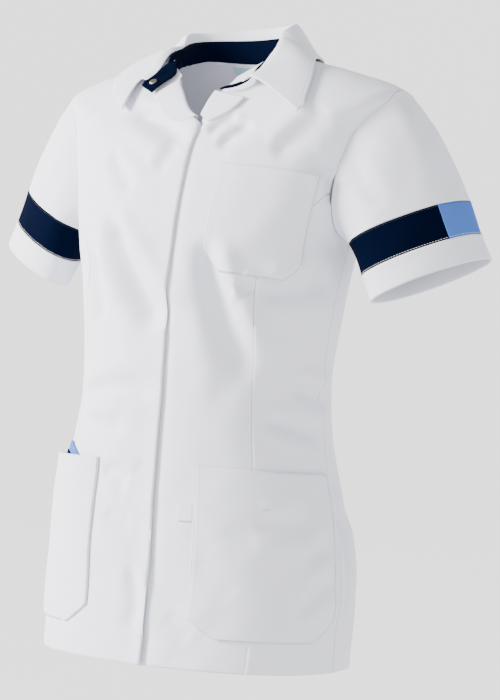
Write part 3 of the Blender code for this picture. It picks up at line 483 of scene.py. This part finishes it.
def hang(points):
    """How the stand's lower edge hangs inside the neck."""
    low = from_edge(points, EDGES["stand_low"])
    high = from_edge(points, EDGES["stand_high"])
    share = high / (high + low)
    ahead = NECK_DEPTH - points[:, 1]
    turns, drops, ins = zip(*STAND_HANG)
    turn = np.degrees(np.arctan2(points[:, 0], ahead))
    drop = np.interp(turn, turns, drops) * np.clip((share - HANG_START) / (1 - HANG_START), 0, 1)
    inward = np.column_stack((-points[:, 0], ahead, np.zeros(len(points))))
    inward /= np.linalg.norm(inward, axis=1, keepdims=True)
    ins = np.interp(turn, turns, ins)
    climb = HANG_OVER * (ins > HANG_LEAST) * np.sin(math.pi * np.clip(2 * share, 0, 1))
    moved = (ins * np.clip(HANG_RATE * share, 0, 1))[:, None] * inward
    moved[:, 2] += climb - drop
    return moved


def lift(points):
    """How the closing's edge stands up from the front below."""
    near = from_edge(points, EDGES["placket"])
    rise = PLACKET_LIFT * np.clip(-points[:, 2] / HEM_DEPTH, PLACKET_LEAST, 1)
    return (rise * np.exp(-(near / PLACKET_WIDTH) ** 2))[:, None] * torso_way(points)


def shift(points, run):
    """The full displacement of a piece's points."""
    points = np.asarray(points, float)
    if run == "arm":
        moved = push(points, "arm") + ripple(points)[:, None] * arm_way(points)
        return moved * np.clip((np.abs(points[:, :1]) - SLEEVE_STILL) / SLEEVE_FREE, 0, 1)
    wave = ripple(points)[:, None] * torso_way(points)
    if run == "stand":
        return RIPPLE_SMALL * wave + hang(points)
    if run in ("flat", "neck"):
        return RIPPLE_SMALL * wave
    moved = push(points, "torso") + wave
    return moved + lift(points) if run == "closing" else moved


def weave_run(points, run):
    """Lengths across and along the cloth, for the weave."""
    x, y, z = points.T
    if run == "flat":
        return x, z + y
    if run == "arm":
        start, axis, side = arm_line(points)
        away = points - start
        turn = np.arctan2(away[:, 1], side * away[:, 2] * axis[0] - away[:, 0] * axis[2])
        return turn * WEAVE_RADIUS[run], away @ axis
    across = np.arctan2(x, WEAVE_DEPTH[run] - y) * WEAVE_RADIUS[run]
    return across, (z + np.hypot(x, y) if run in ("neck", "stand") else z)


def node_mesh(node):
    """A CAD node's mesh, merged and with its quads restored."""
    shape = bmesh.new()
    shape.from_mesh(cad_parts[node].data)
    bmesh.ops.remove_doubles(shape, verts=shape.verts, dist=MERGE)
    bmesh.ops.join_triangles(shape, faces=shape.faces, angle_face_threshold=QUAD_ANGLE,
                             angle_shape_threshold=QUAD_SHAPE)
    return shape


def keep_edges(shape):
    """Marks the sharp edges and corners that subdividing leaves as they are."""
    sharp = shape.edges.layers.float.new("crease_edge")
    corner = shape.verts.layers.float.new("crease_vert")
    for edge in shape.edges:
        if len(edge.link_faces) == 2 and edge.calc_face_angle() > CREASE_ANGLE:
            edge[sharp] = 1.0
    for vert in shape.verts:
        ways = [edge.other_vert(vert).co - vert.co for edge in vert.link_edges if edge[sharp] > 0]
        if len(ways) == 2 and ways[0].angle(-ways[1], 0.0) > CORNER_ANGLE:
            vert[corner] = 1.0


def subdivided(piece, level):
    """A piece's mesh, subdivided."""
    subdivide = piece.modifiers.new("subdivide", "SUBSURF")
    subdivide.levels = subdivide.render_levels = level
    fine = bpy.data.meshes.new_from_object(
        piece.evaluated_get(bpy.context.evaluated_depsgraph_get()))
    piece.modifiers.clear()
    return fine


def lay_weave(mesh, across, along, run):
    """Stores the weave's lengths in a mesh's UV map, without a jump inside a face."""
    weave = mesh.uv_layers[0] if mesh.uv_layers else mesh.uv_layers.new(name="weave")
    places = np.empty(len(mesh.loops), int)
    mesh.loops.foreach_get("vertex_index", places)
    across = across[places]
    if run != "flat":
        around = 2 * math.pi * WEAVE_RADIUS[run]
        first = np.empty(len(mesh.polygons), int)
        total = np.empty(len(mesh.polygons), int)
        mesh.polygons.foreach_get("loop_start", first)
        mesh.polygons.foreach_get("loop_total", total)
        across -= around * np.round((across - np.repeat(across[first], total)) / around)
    weave.data.foreach_set("uv", np.column_stack((across, along[places])).ravel())


def cloth_piece(node, slot, level, run, cut, held):
    """A creased shell on a CAD node's form."""
    name = "tunic_" + node
    shape = node_mesh(node)
    keep_edges(shape)
    mesh = bpy.data.meshes.new(name)
    shape.to_mesh(mesh)
    shape.free()
    piece = bpy.data.objects.new(name, mesh)
    bpy.context.scene.collection.objects.link(piece)
    piece.data = fine = subdivided(piece, level)
    fine.name = name
    points = np.empty(len(fine.vertices) * 3)
    fine.vertices.foreach_get("co", points)
    points = points.reshape(-1, 3)
    fine.vertices.foreach_set("co", (points + shift(points, run)).ravel())
    lay_weave(fine, *weave_run(points, run), run)
    fine.materials.clear()
    fine.materials.append(MATERIALS[slot])
    fine.shade_smooth()
    fine.set_sharp_from_angle(angle=SKIN_ANGLE)
    fine.update()
    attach(piece, "root")
    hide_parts(node)
    return piece


def outer_skin(shape, node):
    """The faces of a thin piece's visible side."""
    rest = set(shape.faces)
    best, skin = 0.0, set()
    for seed in shape.faces:
        if seed not in rest:
            continue
        rest.discard(seed)
        group = [seed]
        for face in group:
            for edge in face.edges:
                if len(edge.link_faces) != 2 or edge.calc_face_angle() > SKIN_ANGLE:
                    continue
                for other in edge.link_faces:
                    if other in rest:
                        rest.discard(other)
                        group.append(other)
        centres = np.array([face.calc_center_median() for face in group])
        normals = np.array([face.normal for face in group])
        areas = np.array([face.calc_area() for face in group])
        ways = arm_way(centres) if node.startswith(ARM_NODES) else torso_way(centres)
        facing = float(areas @ np.einsum("ij,ij->i", normals, ways))
        if node in INSIDE_NODES:
            facing = -facing
        if facing > best:
            best, skin = facing, set(group)
    return skin


def edge_loops(node):
    """The edges of a piece's visible skin: closed rows of places, normals and inward ways."""
    shape = node_mesh(node)
    shape.verts.index_update()
    skin = outer_skin(shape, node)
    rim = {}
    for face in shape.faces:
        for loop in face.loops if face in skin else ():
            if not any(other in skin for other in loop.edge.link_faces if other is not face):
                rim[loop.vert] = loop.link_loop_next.vert
    rows = []
    while rim:
        vert = min(rim, key=lambda v: v.index)
        after = rim.pop(vert)
        chain = [vert]
        while after in rim:
            chain.append(after)
            after = rim.pop(after)
        places = np.array([v.co for v in chain])
        normals = np.array([sum((f.normal for f in v.link_faces if f in skin), Vector())
                            for v in chain])
        rows.append(edge_row(places, normals))
    shape.free()
    return rows


def edge_row(places, normals):
    """Even samples of a closed edge, which has its piece on the left of its run."""
    places = np.vstack((places, places[:1]))
    normals = np.vstack((normals, normals[:1]))
    runs = np.concatenate(((0.0,), np.cumsum(np.linalg.norm(np.diff(places, axis=0), axis=1))))
    along = np.linspace(0, runs[-1], max(int(runs[-1] / SAMPLE), LEAST_LOOP), endpoint=False)
    part = np.clip(np.searchsorted(runs, along, side="right") - 1, 0, len(runs) - 2)
    steps = np.diff(places, axis=0)[part]
    share = ((along - runs[part]) / np.maximum(runs[part + 1] - runs[part], TINY))[:, None]
    here = places[part] + share * steps
    up = normals[part] * (1 - share) + normals[part + 1] * share
    up /= np.linalg.norm(up, axis=1, keepdims=True)
    inward = np.cross(up, steps)
    inward /= np.maximum(np.linalg.norm(inward, axis=1, keepdims=True), TINY)
    return here, up, inward


def edge_side(up, inward):
    """The name of the edge each sample lies on."""
    level = np.column_stack((-up[:, 1], up[:, 0], np.zeros(len(up))))
    level /= np.maximum(np.linalg.norm(level, axis=1, keepdims=True), TINY)
    turn = np.einsum("ij,ij->i", inward, level)
    names = np.where(turn > 0, "first", "last")
    names = np.where(inward[:, 2] < -EDGE_SLOPE, "top", names)
    return np.where(inward[:, 2] > EDGE_SLOPE, "bottom", names)


def row_lines(node, inset, sides):
    """The lines of a sewing row on the CAD form."""
    lines = []
    for here, up, inward in edge_loops(node):
        kept = np.isin(edge_side(up, inward), sides)
        if not kept.any():
            continue
        moved = here + inset * inward
        kept &= from_edge(moved, here[kept]) > ROW_CLEAR * inset
        if not kept.any():
            continue
        first = int(np.argmin(kept)) if not kept.all() else 0
        order = np.roll(np.arange(len(kept)), -first)
        line = []
        for k in list(order) + ([order[0]] if kept.all() else []):
            near = not line or np.linalg.norm(moved[k] - line[-1]) < LEAST_SAMPLES * SAMPLE
            if kept[k] and near:
                line.append(moved[k])
                continue
            if len(line) > LEAST_SAMPLES:
                lines.append(np.array(line))
            line = [moved[k]] if kept[k] else []
        if len(line) > LEAST_SAMPLES:
            lines.append(np.array(line))
    return lines


def stitches(line, pitch, length):
    """Start, middle and end places of the stitches along a line."""
    runs = np.concatenate(((0.0,), np.cumsum(np.linalg.norm(np.diff(line, axis=0), axis=1))))
    starts = np.arange(0, runs[-1] - length, pitch)
    at = starts[:, None] + np.array((0.0, 0.5, 1.0)) * length
    return np.stack([np.interp(at, runs, line[:, axis]) for axis in range(3)], axis=-1)


def thread_mesh(spans, tree):
    """Small rounded stitches laid on a surface; spans are rows of three places."""
    corners, faces = [], []
    angles = 2 * math.pi * np.arange(STITCH_SIDES) / STITCH_SIDES
    for span in spans:
        laid = []
        for place, rise in zip(span, (-STITCH_RISE, STITCH_RISE, -STITCH_RISE)):
            spot, normal, _, _ = tree.find_nearest(Vector(place))
            laid.append(np.array(spot + normal * rise))
        a, middle, b = laid
        run = b - a
        size = np.linalg.norm(run)
        if size < LEAST_STITCH:
            continue
        run /= size
        up = np.array(normal) - (np.array(normal) @ run) * run
        up /= np.linalg.norm(up)
        across = np.cross(run, up)
        base = len(corners)
        for share, radius in STITCH_RINGS:
            centre = ((1 - share) * (1 - 2 * share) * a + 4 * share * (1 - share) * middle
                      + share * (2 * share - 1) * b)
            ring = centre + STITCH_RADIUS * radius * (np.cos(angles)[:, None] * across
                                                      + np.sin(angles)[:, None] * up)
            corners.extend(ring)
        for row in range(len(STITCH_RINGS) - 1):
            for k in range(STITCH_SIDES):
                low = base + row * STITCH_SIDES
                after = (k + 1) % STITCH_SIDES
                faces.append((low + k, low + after, low + STITCH_SIDES + after,
                              low + STITCH_SIDES + k))
        faces.append(tuple(base + k for k in reversed(range(STITCH_SIDES))))
        faces.append(tuple(base + (len(STITCH_RINGS) - 1) * STITCH_SIDES + k
                           for k in range(STITCH_SIDES)))
    return corners, faces


def surface(pieces):
    """A search tree of several finished pieces' surfaces."""
    corners, faces = [], []
    for piece in pieces:
        base = len(corners)
        corners.extend(v.co.copy() for v in piece.data.vertices)
        faces.extend([base + k for k in face.vertices] for face in piece.data.polygons)
    return BVHTree.FromPolygons(corners, faces)


def sewing(made):
    """All stitching, as one piece for each slot and thread."""
    runs = {row[0]: row[3] for row in PIECES}
    groups = {}
    trees = {}
    for node, inset, sides, slot, thread in ROWS:
        if node not in trees:
            trees[node] = surface([made[node]])
        for line in row_lines(node, inset, sides):
            line = line + shift(line, runs[node])
            spans = stitches(line, STITCH_PITCH, STITCH_LENGTH)
            groups.setdefault((slot, thread), []).append((spans, trees[node]))
    for node, pixels, slot, thread in BARS:
        line = np.linspace(*seen_line(pixels, surface([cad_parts[node]])), BAR_POINTS)
        spans = stitches(line + shift(line, runs[node]), BAR_PITCH, BAR_LENGTH)
        groups.setdefault((slot, thread), []).append((spans, trees[node]))
    for (slot, thread), rows in groups.items():
        corners, faces = [], []
        for spans, tree in rows:
            more, more_faces = thread_mesh(spans, tree)
            base = len(corners)
            corners.extend(more)
            faces.extend(tuple(base + k for k in face) for face in more_faces)
        name = "sewing_" + thread
        mesh = bpy.data.meshes.new(name)
        mesh.from_pydata([tuple(map(float, c)) for c in corners], [], faces)
        mesh.shade_smooth()
        mesh.materials.append(MATERIALS[thread])
        piece = bpy.data.objects.new(name, mesh)
        bpy.context.scene.collection.objects.link(piece)
        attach(piece, "root")


def shader(name, colour, roughness):
    """A new Principled material: its node tree and main node."""
    made = bpy.data.materials.new(name)
    MATERIALS[name] = made
    made.use_nodes = True
    tree = made.node_tree
    main = tree.nodes["Principled BSDF"]
    main.inputs["Base Color"].default_value = (*colour, 1.0)
    main.inputs["Roughness"].default_value = roughness
    return tree, main


def add_node(tree, kind, **values):
    """A node with its sockets set by name."""
    node = tree.nodes.new(kind)
    for key, value in values.items():
        if key in node.inputs:
            node.inputs[key].default_value = value
        else:
            setattr(node, key, value)
    return node


def cloth_material(name, first, second, roughness, specular):
    """Fine plain weave with slight unevenness."""
    tree, main = shader(name, first, roughness)
    link = tree.links.new
    main.inputs["Specular IOR Level"].default_value = specular
    place = add_node(tree, "ShaderNodeTexCoord")
    patches = add_node(tree, "ShaderNodeTexNoise", Scale=9.0, Detail=4.0, Roughness=0.55)
    link(place.outputs["Object"], patches.inputs["Vector"])
    mix = add_node(tree, "ShaderNodeMix", data_type="RGBA")
    mix.inputs["A"].default_value = (*first, 1.0)
    mix.inputs["B"].default_value = (*second, 1.0)
    link(patches.outputs["Fac"], mix.inputs["Factor"])
    link(mix.outputs["Result"], main.inputs["Base Color"])
    threads = []
    split = add_node(tree, "ShaderNodeSeparateXYZ")
    link(place.outputs["UV"], split.inputs["Vector"])
    for axis in ("X", "Y"):
        scale = add_node(tree, "ShaderNodeMath", operation="MULTIPLY")
        scale.inputs[1].default_value = math.pi / WEAVE_PITCH
        link(split.outputs[axis], scale.inputs[0])
        wave = add_node(tree, "ShaderNodeMath", operation="SINE")
        link(scale.outputs[0], wave.inputs[0])
        threads.append(wave)
    weave = add_node(tree, "ShaderNodeMath", operation="MULTIPLY")
    link(threads[0].outputs[0], weave.inputs[0])
    link(threads[1].outputs[0], weave.inputs[1])
    fine = add_node(tree, "ShaderNodeBump", Strength=0.35, Distance=0.00008)
    link(weave.outputs[0], fine.inputs["Height"])
    rumple = add_node(tree, "ShaderNodeTexNoise", Scale=34.0, Detail=5.0, Roughness=0.5)
    link(place.outputs["Object"], rumple.inputs["Vector"])
    broad = add_node(tree, "ShaderNodeBump", Strength=0.25, Distance=0.0012)
    link(rumple.outputs["Fac"], broad.inputs["Height"])
    link(fine.outputs["Normal"], broad.inputs["Normal"])
    link(broad.outputs["Normal"], main.inputs["Normal"])


def thread_material(name, colour):
    """Twisted sewing thread."""
    tree, main = shader(name, colour, THREAD_ROUGHNESS)
    place = add_node(tree, "ShaderNodeTexCoord")
    twist = add_node(tree, "ShaderNodeTexWave", Scale=900.0, Distortion=1.0)
    tree.links.new(place.outputs["Object"], twist.inputs["Vector"])
    bump = add_node(tree, "ShaderNodeBump", Strength=0.3, Distance=0.0001)
    tree.links.new(twist.outputs["Fac"], bump.inputs["Height"])
    tree.links.new(bump.outputs["Normal"], main.inputs["Normal"])


def stud_material():
    """Brushed, slightly worn metal."""
    tree, main = shader("stud_metal", STUD_COLOUR, STUD_ROUGHNESS[1])
    main.inputs["Metallic"].default_value = 1.0
    place = add_node(tree, "ShaderNodeTexCoord")
    worn = add_node(tree, "ShaderNodeTexNoise", Scale=420.0, Detail=3.0)
    tree.links.new(place.outputs["Object"], worn.inputs["Vector"])
    spread = add_node(tree, "ShaderNodeMapRange")
    spread.inputs["To Min"].default_value = STUD_ROUGHNESS[0]
    spread.inputs["To Max"].default_value = STUD_ROUGHNESS[1]
    tree.links.new(worn.outputs["Fac"], spread.inputs["Value"])
    tree.links.new(spread.outputs["Result"], main.inputs["Roughness"])


def backdrop():
    """A pale round floor that curves up into a wall."""
    profile = [(0.0, 0.0)]
    for turn in np.linspace(0, math.pi / 2, COVE_STEPS + 1):
        profile.append((FLOOR_RADIUS + COVE_RADIUS * math.sin(turn),
                        COVE_RADIUS * (1 - math.cos(turn))))
    profile.append((FLOOR_RADIUS + COVE_RADIUS, WALL_TOP))
    shape = bmesh.new()
    verts = [shape.verts.new((radius, 0, FLOOR + height)) for radius, height in profile]
    edges = [shape.edges.new(pair) for pair in zip(verts, verts[1:])]
    bmesh.ops.spin(shape, geom=verts + edges, axis=(0, 0, 1), cent=(0, 0, 0),
                   angle=2 * math.pi, steps=STUDIO_SIDES, use_merge=True)
    bmesh.ops.remove_doubles(shape, verts=shape.verts, dist=MERGE)
    bmesh.ops.recalc_face_normals(shape, faces=shape.faces)
    bmesh.ops.reverse_faces(shape, faces=shape.faces)  # it is seen from inside
    mesh = bpy.data.meshes.new("backdrop")
    shape.to_mesh(mesh)
    shape.free()
    mesh.shade_smooth()
    _, main = shader("backdrop", BACKDROP_COLOUR, 1.0)
    main.inputs["Specular IOR Level"].default_value = 0.0
    main.inputs["Emission Color"].default_value = (1.0, 1.0, 1.0, 1.0)
    main.inputs["Emission Strength"].default_value = BACKDROP_GLOW
    mesh.materials.append(MATERIALS["backdrop"])
    floor = bpy.data.objects.new("backdrop", mesh)
    bpy.context.scene.collection.objects.link(floor)


def lights():
    """Soft sky light and three large lamps."""
    world = bpy.data.worlds.new("world")
    world.use_nodes = True
    sky = world.node_tree.nodes["Background"]
    sky.inputs["Color"].default_value = (*WORLD_COLOUR, 1.0)
    sky.inputs["Strength"].default_value = WORLD
    bpy.context.scene.world = world
    for name, place, size, power, colour in LIGHTS:
        data = bpy.data.lights.new(name, "AREA")
        data.shape = "DISK"
        data.size = size
        data.energy = power
        data.color = colour
        lamp = bpy.data.objects.new(name, data)
        lamp.location = place
        aim = Vector(LIGHT_AIM) - Vector(place)
        lamp.rotation_euler = aim.to_track_quat("-Z", "Y").to_euler()
        bpy.context.scene.collection.objects.link(lamp)


def loop_size(row):
    """How many samples a closed edge has."""
    return len(row[0])


def lay_out():
    """Finds the edges and creases that the cloth's shape depends on."""
    here, _, inward = max(edge_loops("stand"), key=loop_size)
    EDGES["stand_low"] = here[inward[:, 2] > STAND_SLOPE]
    EDGES["stand_high"] = here[inward[:, 2] < -STAND_SLOPE]
    here, up, inward = max(edge_loops("front_right"), key=loop_size)
    EDGES["placket"] = here[edge_side(up, inward) == "last"]
    solids = surface(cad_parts.values())
    for *sizes, pixels in SEEN_CREASES:
        CREASES.append(("torso", *sizes, seen_line(pixels, solids)))
    CREASES.extend(OTHER_CREASES)


for cloth_name, values in CLOTHS.items():
    cloth_material(cloth_name, *values)
for thread_name, thread_colour in THREADS.items():
    thread_material(thread_name, thread_colour)
stud_material()
camera()
lay_out()
made = {row[0]: cloth_piece(*row) for row in PIECES}
sewing(made)
backdrop()
lights()
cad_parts["stud_cap"].data.materials.clear()
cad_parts["stud_cap"].data.materials.append(MATERIALS["stud_metal"])
